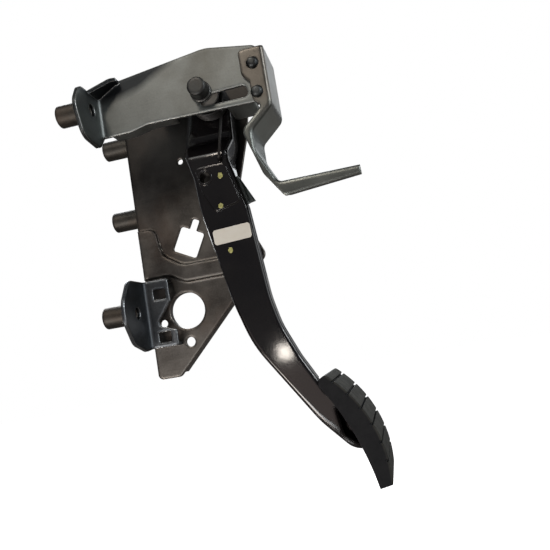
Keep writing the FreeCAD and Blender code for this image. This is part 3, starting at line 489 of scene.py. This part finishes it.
# Return spring: a torsion spring of round, dark, oiled steel wire, coiled on the hub. The near leg hooks into
# the arm and turns with it, the far leg stands under the bracket's roof, and the coils wind between the two.
WIRE_RADIUS = 0.001
WIRE_SIDES = 12
COIL_RADIUS = 0.01305
COIL_NEAR = 0.02225
COIL_PITCH = 0.0034
COIL_TURNS = 4.15954
COIL_START = math.radians(-12.435)
COIL_STEPS = 150
PIVOT = Vector((0.102, 0, 0))
HOOK = Vector((0.105, COIL_NEAR, -0.047))
HOOK_END = 0.03
HOOK_STRAIGHT = 0.027
HOOK_BEND = 0.003
HOOK_STEPS = 6
FAR_LEG = 0.02295


def coil_place(share):
    """Place on the coil's centre line, at a share of its turns from the near end."""
    angle = COIL_START + share * COIL_TURNS * math.tau
    across = COIL_NEAR + share * COIL_TURNS * COIL_PITCH
    return PIVOT + Vector((COIL_RADIUS * math.cos(angle), across, COIL_RADIUS * math.sin(angle)))


def spring_path():
    """Places along the wire from the hook's end to the far leg's end."""
    path = [Vector((HOOK.x, y, HOOK.z)) for y in (HOOK_END, HOOK_STRAIGHT)]
    rise = (coil_place(0) - HOOK).normalized()
    for step in range(HOOK_STEPS + 1):
        turn = math.radians(90 * step / HOOK_STEPS)
        back = Vector((0, 1, 0)) * (1 - math.sin(turn)) + rise * (1 - math.cos(turn))
        path.append(HOOK + back * HOOK_BEND)
    path += [coil_place(step / COIL_STEPS) for step in range(COIL_STEPS + 1)]
    run = (path[-1] - path[-2]).normalized()
    path.append(path[-1] + Vector((run.x, 0, run.z)).normalized() * FAR_LEG)
    return path


def joined_rings(count, sides):
    """Faces between a number of rings of points that follow each other."""
    faces = []
    for ring in range(count - 1):
        for step in range(sides):
            low = ring * sides + step
            high = ring * sides + (step + 1) % sides
            faces.append((low, high, high + sides, low + sides))
    return faces


def new_piece(name, points, faces):
    """A smooth mesh piece in the scene, made of points and faces."""
    mesh = bpy.data.meshes.new(name)
    mesh.from_pydata([tuple(point) for point in points], [], faces)
    mesh.shade_smooth()
    piece = bpy.data.objects.new(name, mesh)
    bpy.context.scene.collection.objects.link(piece)
    return piece


def wire_piece(name, path, radius, sides):
    """A round wire along a path, closed at both ends."""
    points = []
    side = Vector((1, 0, 0))
    for index, place in enumerate(path):
        ahead = (path[min(index + 1, len(path) - 1)] - path[max(index - 1, 0)]).normalized()
        side = (side - ahead * side.dot(ahead)).normalized()
        other = ahead.cross(side)
        for step in range(sides):
            turn = math.tau * step / sides
            points.append(place + (side * math.cos(turn) + other * math.sin(turn)) * radius)
    faces = joined_rings(len(path), sides)
    faces.append(tuple(range(sides))[::-1])
    faces.append(tuple(range(len(points) - sides, len(points))))
    return new_piece(name, points, faces)


spring_finish = zinc_finish(
    "spring_finish",
    pale=(0.075, 0.074, 0.074),
    deep=(0.035, 0.034, 0.034),
    stain=(0.04, 0.03, 0.022),
    stain_amount=0.4,
    dullness=0.4,
    edge=(0.16, 0.155, 0.15),
)
spring = wire_piece("return_spring_wire", spring_path(), WIRE_RADIUS, WIRE_SIDES)
spring.data.materials.append(spring_finish)
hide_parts("return_spring")
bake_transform(spring)


# Paint dabs: three marks of yellow-green marker paint on the arm.
# They are dabbed on by hand when the arm is inspected at the factory, and dry as thin crowned blots.
def dab_finish():
    thick_paint = (0.38, 0.37, 0.12, 1)
    thin_paint = (0.2, 0.2, 0.07, 1)
    material, tree, shader = new_material("marker_paint", 0.0)
    thin = spread(tree, grain(tree, 700, 3), 0.4, 0.65)
    tree.links.new(mix_colour(tree, thin, thick_paint, thin_paint), shader["Base Color"])
    tree.links.new(spread(tree, grain(tree, 500, 3), 0.3, 0.7, 0.35, 0.6), shader["Roughness"])
    return material


PANEL_FACE = 0.0248
WEB_FACE = 0.026
DAB_SIDES = 20
DAB_RINGS = ((1.0, -0.0001), (0.9, 0.00012), (0.5, 0.0002))
DAB_CROWN = 0.00022
DAB_PLACES = (
    (0.1035, PANEL_FACE, -0.0588),
    (0.1005, PANEL_FACE, -0.0805),
    (0.1022, WEB_FACE, -0.113),
)
DAB_SIZES = ((0.0019, 0.0024), (0.0019, 0.0021), (0.0018, 0.0022))


def dab_piece(name, place, size, seed):
    """A thin crowned blot on a face of the web, with an uneven edge."""
    x, face, z = place
    across, down = size
    points = []
    for share, rise in DAB_RINGS:
        for step in range(DAB_SIDES):
            turn = math.tau * step / DAB_SIDES
            uneven = 1 + 0.04 * math.sin(3 * turn + seed) + 0.05 * math.sin(5 * turn + 2 * seed)
            points.append((
                x + across * share * uneven * math.cos(turn),
                face - rise,
                z + down * share * uneven * math.sin(turn),
            ))
    points.append((x, face - DAB_CROWN, z))
    faces = joined_rings(len(DAB_RINGS), DAB_SIDES)
    inner = (len(DAB_RINGS) - 1) * DAB_SIDES
    top = len(points) - 1
    faces += [(inner + step, inner + (step + 1) % DAB_SIDES, top) for step in range(DAB_SIDES)]
    faces.append(tuple(range(DAB_SIDES))[::-1])
    return new_piece(name, points, faces)


marker_paint = dab_finish()
for number, (dab_place, dab_size) in enumerate(zip(DAB_PLACES, DAB_SIZES), 1):
    dab = dab_piece(f"paint_dab_{number}", dab_place, dab_size, 1.7 * number)
    dab.data.materials.append(marker_paint)
    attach(dab, "pedal")


# Floor: a plain pale studio floor, well below the part.
# It is pale to the camera and dim in the part's reflections.
def floor_finish():
    dim_floor = (0.16, 0.145, 0.135, 1)
    material, tree, shader = new_material("pale_floor", 0.0)
    seen = put(tree, "LightPath").outputs["Is Camera Ray"]
    faint = grain(tree, 3, 3)
    pale = mix_colour(tree, faint, (0.86, 0.85, 0.84, 1), (0.89, 0.88, 0.87, 1))
    tree.links.new(mix_colour(tree, seen, dim_floor, pale), shader["Base Color"])
    shader["Roughness"].default_value = 0.9
    shader["Specular IOR Level"].default_value = 0.1
    shader["Emission Color"].default_value = (1, 1, 1, 1)
    tree.links.new(seen, shader["Emission Strength"])
    return material


FLOOR_DROP = 0.3
FLOOR_RADIUS = 8
FLOOR_SIDES = 64
floor_level = cad_box[0][2] - FLOOR_DROP
floor_rim = []
for step in range(FLOOR_SIDES):
    turn = math.tau * step / FLOOR_SIDES
    floor_rim.append((FLOOR_RADIUS * math.cos(turn), FLOOR_RADIUS * math.sin(turn), floor_level))
floor_mesh = bpy.data.meshes.new("floor")
floor_mesh.from_pydata(floor_rim, [], [tuple(range(FLOOR_SIDES))])
floor = bpy.data.objects.new("floor", floor_mesh)
floor.data.materials.append(floor_finish())
bpy.context.scene.collection.objects.link(floor)


# Lights: soft boxes and cards that stand round the part, hidden from the camera.
# The large ones light its sides, and the small ones draw the gleams on its folds, bends and paint.
def soft_box(name, place, target, width, height, glow, colour):
    """A lit rectangle of a given brightness that faces a target."""
    light = bpy.data.lights.new(name, "AREA")
    light.shape = "RECTANGLE"
    light.size = width
    light.size_y = height
    light.energy = glow * math.pi * width * height
    light.color = colour
    lamp = bpy.data.objects.new(name, light)
    lamp.location = place
    lamp.rotation_euler = (Vector(target) - Vector(place)).to_track_quat("-Z", "Y").to_euler()
    lamp.visible_camera = False
    bpy.context.scene.collection.objects.link(lamp)


middle = (Vector(cad_box[0]) + Vector(cad_box[1])) / 2
plate_top = (0.15, 0.0, 0.0)
plate_edge = (0.08, 0.0, -0.015)
ear_corner = (0.03, 0.0, -0.01)
strut_slope = (0.13, 0.0, 0.0)
arm_fold = (0.1, 0.026, -0.041)
arm_shine = (0.1288, 0.026, -0.1898)
arm_end = (0.13, 0.026, -0.22)
pad_level = (0.1, 0.0, -0.25)
warm_white = (1.0, 0.98, 0.95)
cream_white = (1.0, 0.98, 0.93)
lamp_orange = (1.0, 0.88, 0.76)
lamp_peach = (1.0, 0.9, 0.82)
lamp_cream = (1.0, 0.92, 0.83)
wood_pink = (1.0, 0.82, 0.75)
window_blue = (0.92, 0.97, 1.0)
cool_white = (0.95, 0.98, 1.0)
fill_white = (0.96, 0.98, 1.0)
plain_white = (0.98, 0.99, 1.0)
for name, place, target, width, height, glow, colour in (
    ("key_box", (-0.3, -0.75, 1.0), middle, 0.7, 0.5, 2.4, warm_white),
    ("fold_glint", (-0.166, -1.041, 0.93), arm_fold, 0.16, 0.34, 30.0, lamp_orange),
    ("back_card", (0.29, 1.07, 0.52), plate_top, 0.25, 0.45, 1.5, window_blue),
    ("side_card", (1.3, -0.35, 0.15), middle, 0.8, 1.2, 1.7, cool_white),
    ("bend_strip", (1.12, -0.68, 0.5), ear_corner, 0.2, 0.34, 20.0, cool_white),
    ("back_fill", (-0.5, 1.1, 0.5), middle, 1.1, 1.1, 6.0, fill_white),
    ("left_fill", (-1.0, 0.7, 0.1), middle, 0.8, 1.0, 1.0, plain_white),
    ("rear_fill", (1.0, 0.9, 0.45), middle, 0.6, 0.8, 1.5, fill_white),
    ("strut_card", (0.55, 0.99, -0.22), strut_slope, 0.6, 0.5, 0.26, cream_white),
    ("under_card", (-0.14, -0.72, -0.5), plate_edge, 0.4, 0.08, 14.0, cool_white),
    ("low_card", (0.1, -1.2, -0.36), pad_level, 2.2, 0.24, 0.8, wood_pink),
    ("table_glow", (-0.26, -0.46, -0.47), arm_end, 0.2, 0.2, 14.0, lamp_peach),
    ("arm_glint", (-0.086, -1.164, -0.205), arm_shine, 0.035, 0.035, 38.0, lamp_cream),
):
    soft_box(name, place, target, width, height, glow, colour)

# Surround: a plain white backdrop that reaches all round the part.
# It is white to the camera and dim in the part's reflections, like the floor.
SURROUND_GLOW = 0.12
world = bpy.data.worlds.new("studio")
bpy.context.scene.world = world
world.use_nodes = True
surround = world.node_tree
backdrop = surround.nodes["Background"]
backdrop.inputs["Color"].default_value = (1.0, 1.0, 1.0, 1)
dim = put(surround, "Background", {"Color": (0.94, 0.96, 1.0, 1), "Strength": SURROUND_GLOW})
seen = put(surround, "LightPath").outputs["Is Camera Ray"]
both = put(surround, "MixShader", {0: seen, 1: dim.outputs[0], 2: backdrop.outputs[0]})
surround.links.new(both.outputs[0], surround.nodes["World Output"].inputs["Surface"])
bpy.context.scene.view_settings.view_transform = "Standard"

# Camera: stands on the near side, level with the lower arm and a little towards the driver.
# It looks across the part and slightly up, with a slight roll.
CAMERA_PLACE = (0.20737, -0.41, -0.18419)
CAMERA_RIGHT = Vector((0.96858, 0.18818, -0.16261))
CAMERA_UP = Vector((0.17952, -0.07650, 0.98078))
CAMERA_FORWARD = Vector((-0.17212, 0.97915, 0.10787))
camera_data = bpy.data.cameras.new("camera")
camera_data.sensor_width = 36
camera_data.lens = 41.89
camera_data.clip_start = 0.01
camera = bpy.data.objects.new("camera", camera_data)
camera_turn = Matrix((CAMERA_RIGHT, CAMERA_UP, -CAMERA_FORWARD)).transposed().to_4x4()
camera.matrix_world = Matrix.Translation(CAMERA_PLACE) @ camera_turn
bpy.context.scene.collection.objects.link(camera)
bpy.context.scene.camera = camera
